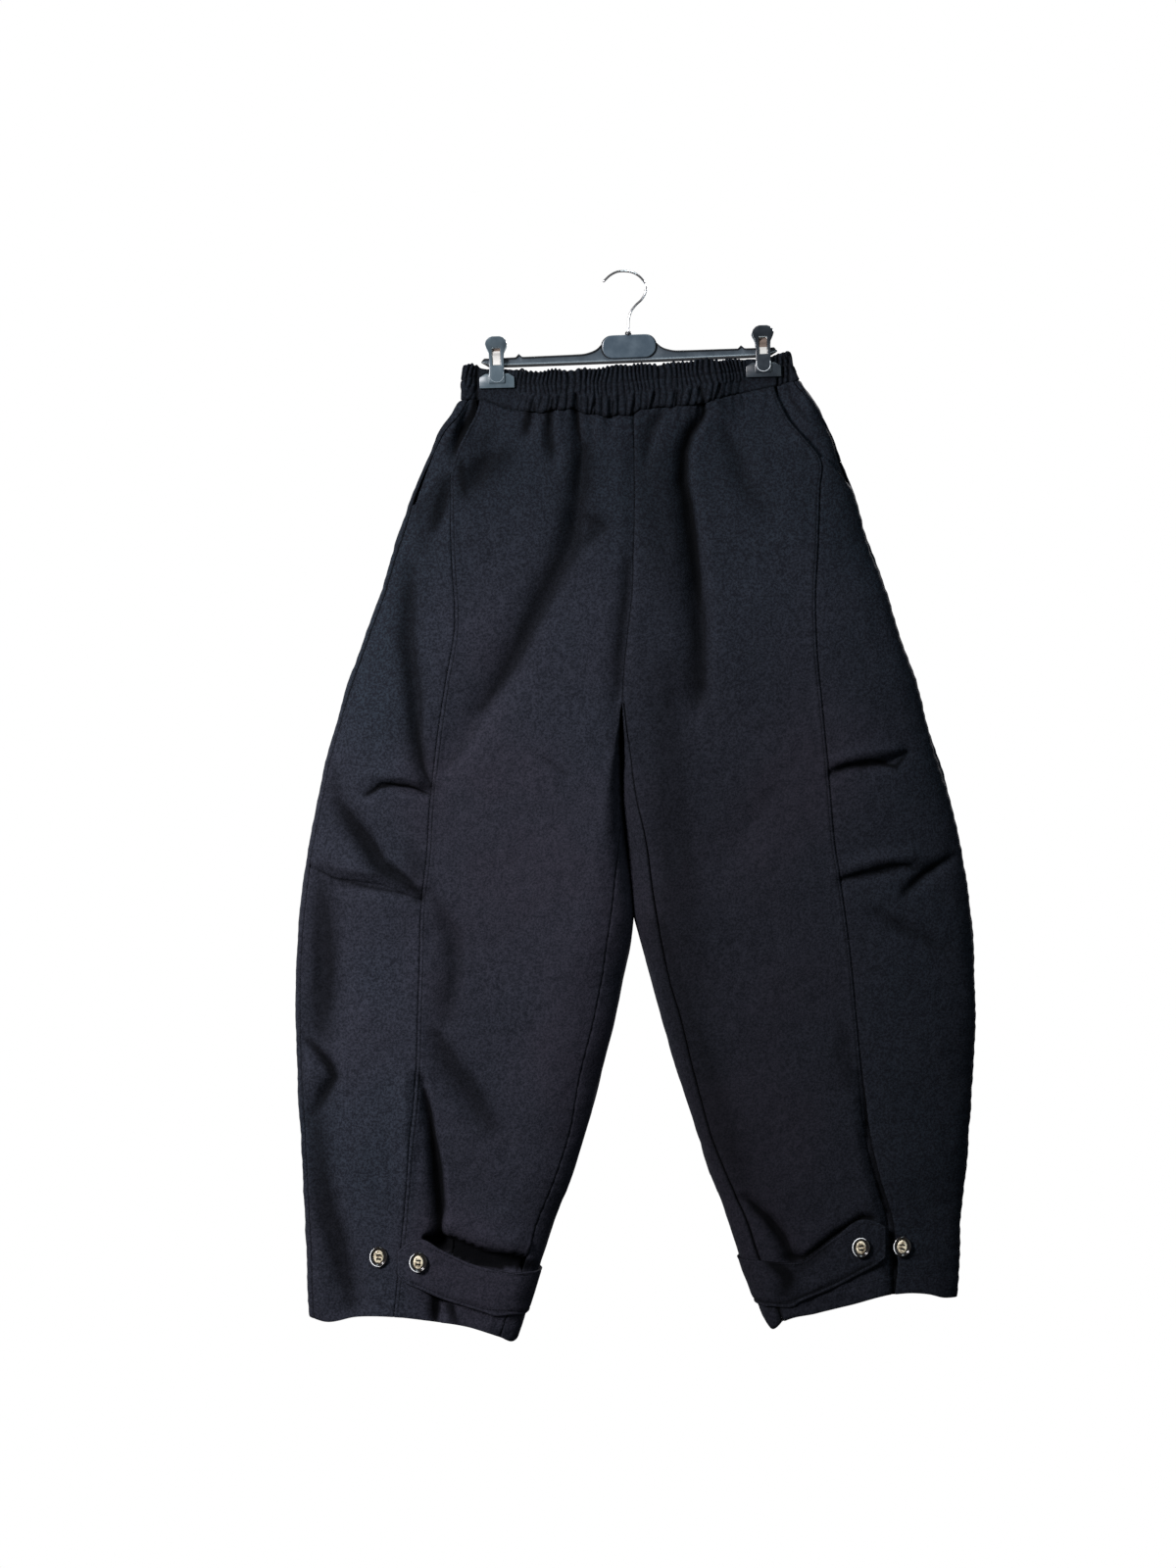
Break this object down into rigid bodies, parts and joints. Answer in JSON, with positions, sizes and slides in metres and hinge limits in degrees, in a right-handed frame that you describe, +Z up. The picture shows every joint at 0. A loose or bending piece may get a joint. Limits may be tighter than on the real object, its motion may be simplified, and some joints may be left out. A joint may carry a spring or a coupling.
{
  "type": "barrel leg trousers on a clip hanger",
  "caption": "Pull-on barrel leg trousers with gathered waistband, slanted pockets, knee darts and buttoned hem tabs, hung from a clip hanger.",
  "frame": {"origin": "inside top of the hanger's hook, where a rail or wall hook carries it", "axes": "+Z up, the front of the trousers faces -Y, +X to the viewer's right; the hanging cloth is flattened in Y"},
  "size_m": [0.7204, 0.0746, 1.1354],
  "materials": {
    "black_knit": "matte",
    "slate_plastic": "satin gloss",
    "chrome_wire": "polished",
    "spring_steel": "bright",
    "horn_button": "marbled gloss"
  },
  "bodies": {
    "root": {"waistband_front": "black_knit", "waistband_back": "black_knit", "front_centre_left": "black_knit", "front_centre_right": "black_knit", "front_side_left": "black_knit", "front_side_right": "black_knit", "back_left": "black_knit", "back_right": "black_knit", "pocket_facing_left": "black_knit", "pocket_facing_right": "black_knit", "strap_left": "black_knit", "strap_right": "black_knit", "button_left_panel": "horn_button", "button_left_strap": "horn_button", "button_right_strap": "horn_button", "button_right_panel": "horn_button", "hanger_bar": "slate_plastic", "clip_left_front": "slate_plastic", "clip_left_back": "slate_plastic", "clip_right_front": "slate_plastic", "clip_right_back": "slate_plastic", "hanger_hook": "chrome_wire", "clip_left_spring": "spring_steel", "clip_right_spring": "spring_steel"}
  },
  "joints": []
}
